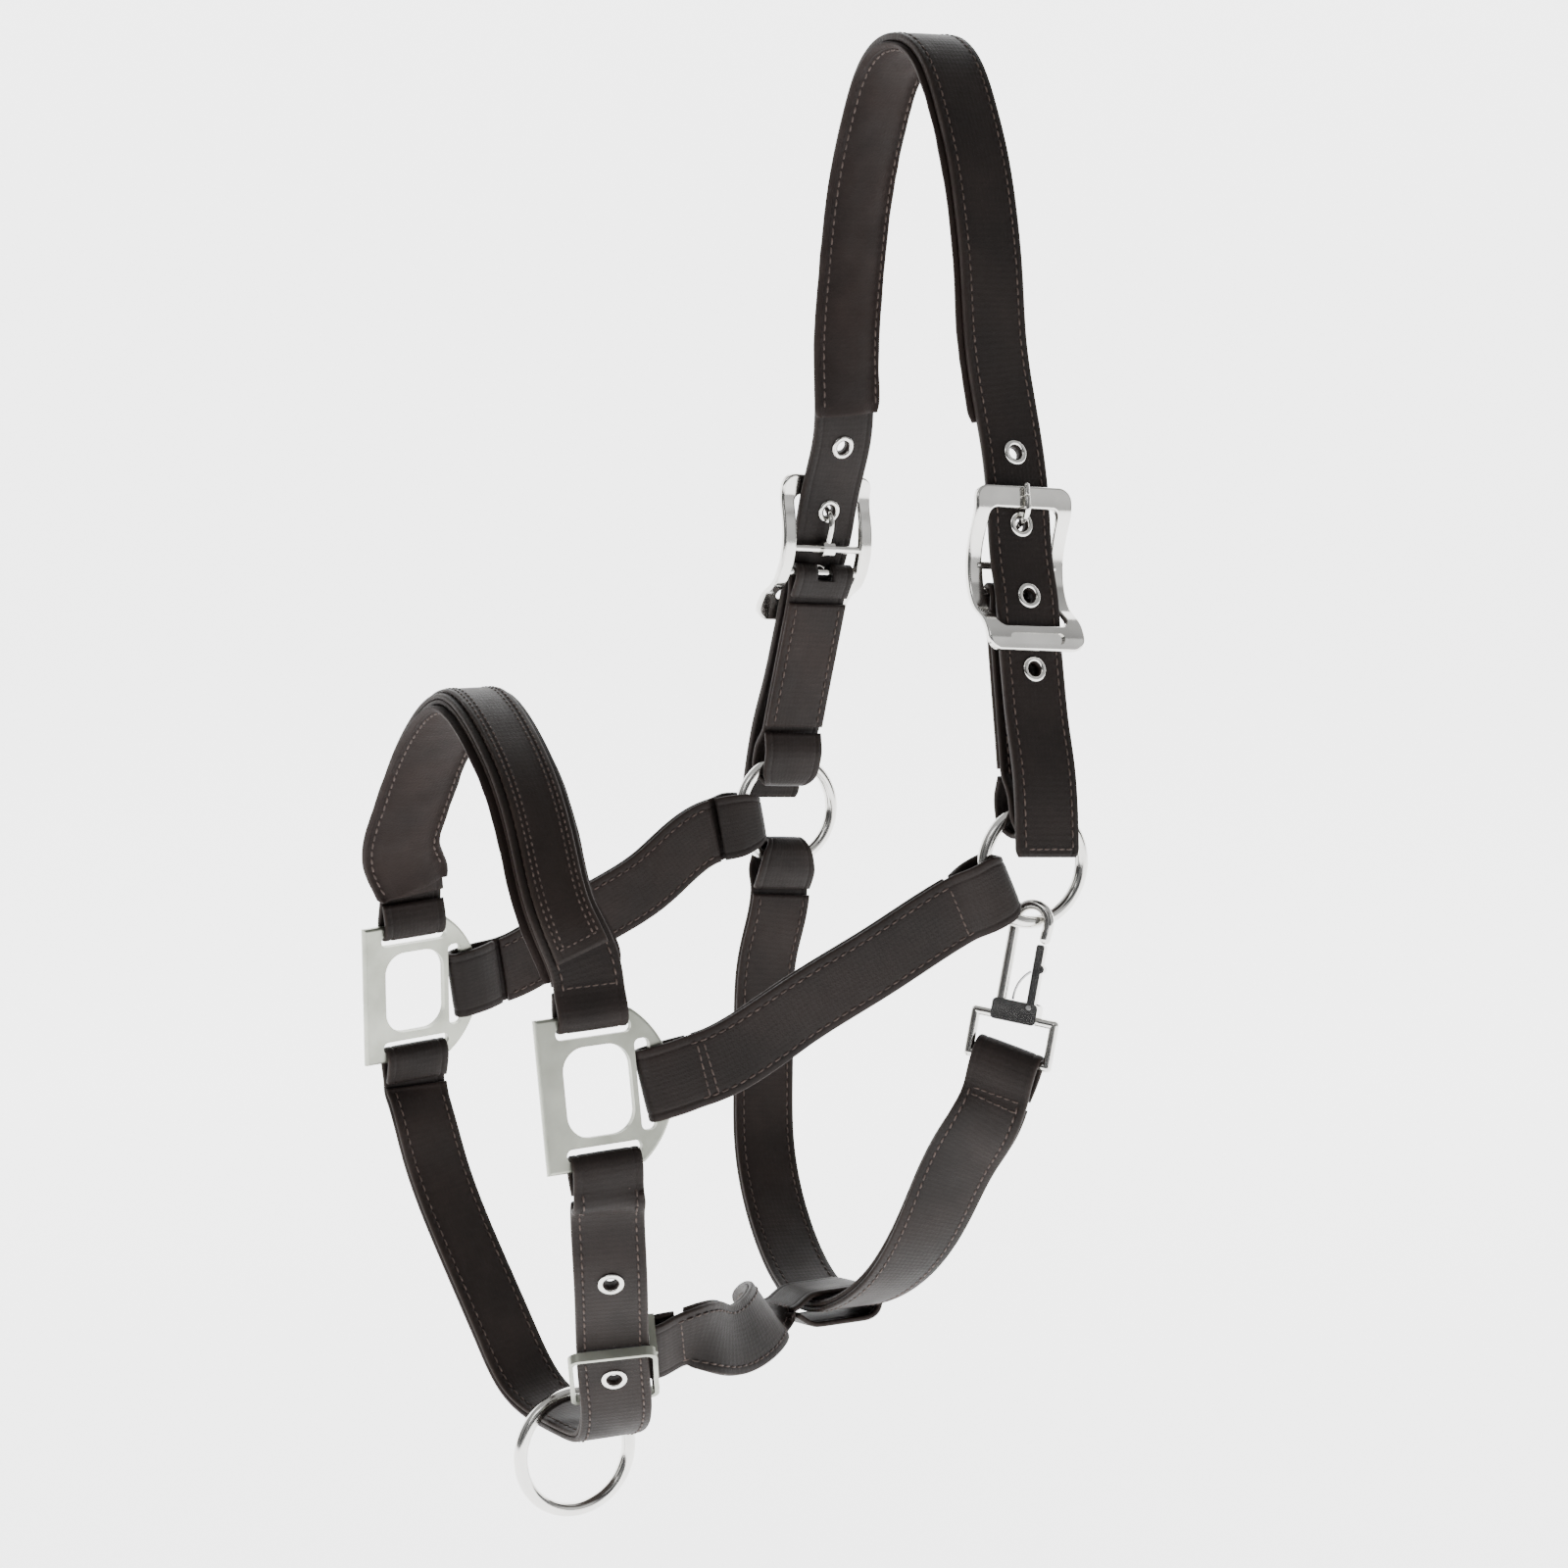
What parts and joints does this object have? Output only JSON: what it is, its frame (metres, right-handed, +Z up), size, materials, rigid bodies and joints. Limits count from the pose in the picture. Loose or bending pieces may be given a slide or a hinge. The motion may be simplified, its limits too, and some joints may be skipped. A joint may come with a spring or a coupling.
{
  "type": "leather headcollar",
  "caption": "Adjustable headcollar with padded crown and noseband, two buckles, cheek rings, halter squares, sliding chin strap, lead ring and a snap at the throat.",
  "frame": {"origin": "underside of the padded crownpiece at the top of the poll, on the centre plane", "axes": "+Z up, -Y towards the nose, +X towards the near (left) side of the horse"},
  "size_m": [0.2065, 0.2148, 0.5327],
  "materials": {
    "strap_leather": "matt, fine grain",
    "lining_leather": "matt",
    "padding": "soft padded leather",
    "overlay_leather": "matt",
    "bright_metal": "polished nickel",
    "cast_metal": "satin with bright edges",
    "spring_steel": "bright"
  },
  "bodies": {
    "crown": {"crown_strap": "strap_leather", "crown_pad": "padding", "crown_eyelets": "bright_metal", "near_chape": "strap_leather", "far_chape": "strap_leather", "near_buckle_frame": "bright_metal", "far_buckle_frame": "bright_metal"},
    "near_tongue": {"near_buckle_tongue": "bright_metal"},
    "far_tongue": {"far_buckle_tongue": "bright_metal"},
    "near_cheek_ring": {"near_ring": "bright_metal"},
    "far_cheek_ring": {"far_ring": "bright_metal"},
    "harness": {"near_square": "cast_metal", "far_square": "cast_metal", "near_cheek_strap": "strap_leather", "near_cheek_lining": "lining_leather", "far_cheek_strap": "strap_leather", "far_cheek_lining": "lining_leather", "nose_strap": "strap_leather", "nose_pad": "padding", "nose_overlay": "overlay_leather", "chin_strap": "strap_leather", "chin_lining": "lining_leather", "chin_eyelets": "bright_metal", "chin_slide": "cast_metal", "connector_strap": "strap_leather", "connector_lining": "lining_leather", "throat_strap": "strap_leather", "throat_lining": "lining_leather", "snap_body": "bright_metal", "snap_gate_pin": "spring_steel", "snap_spring": "spring_steel"},
    "gate": {"snap_gate": "bright_metal"},
    "lead": {"lead_ring": "bright_metal"}
  },
  "joints": [
    {"name": "near_tongue_lift", "type": "hinge", "parent": "crown", "child": "near_tongue", "pos_m": [0.06797, 0.0001, -0.18234], "axis": [0.016, 0.9979, -0.0635], "range_deg": [0, 3]},
    {"name": "far_tongue_lift", "type": "hinge", "parent": "crown", "child": "far_tongue", "pos_m": [-0.06797, 0.0001, -0.18234], "axis": [0.016, -0.9979, 0.0635], "range_deg": [0, 3]},
    {"name": "near_ring_turn", "type": "hinge", "parent": "crown", "child": "near_cheek_ring", "pos_m": [0.09, -0.0055, -0.285], "axis": [1, 0, 0], "continuous": true},
    {"name": "far_ring_turn", "type": "hinge", "parent": "crown", "child": "far_cheek_ring", "pos_m": [-0.09, -0.0055, -0.285], "axis": [1, 0, 0], "continuous": true},
    {"name": "noseband_swing", "type": "hinge", "parent": "crown", "child": "harness", "pos_m": [0, -0.0055, -0.285], "axis": [1, 0, 0], "range_deg": [-8, 12]},
    {"name": "snap_gate_open", "type": "hinge", "parent": "harness", "child": "gate", "pos_m": [0.09419, -0.00838, -0.33472], "axis": [0.5922, -0.7895, 0.1611], "range_deg": [0, 15], "stiffness_Nm_per_rad": 0.02, "springref_deg": -17.19, "deforming": ["snap_spring"]},
    {"name": "lead_ring_swing", "type": "hinge", "parent": "harness", "child": "lead", "pos_m": [-0.006, -0.138, -0.4874], "axis": [0, 1, 0], "range_deg": [-20, 20]}
  ]
}
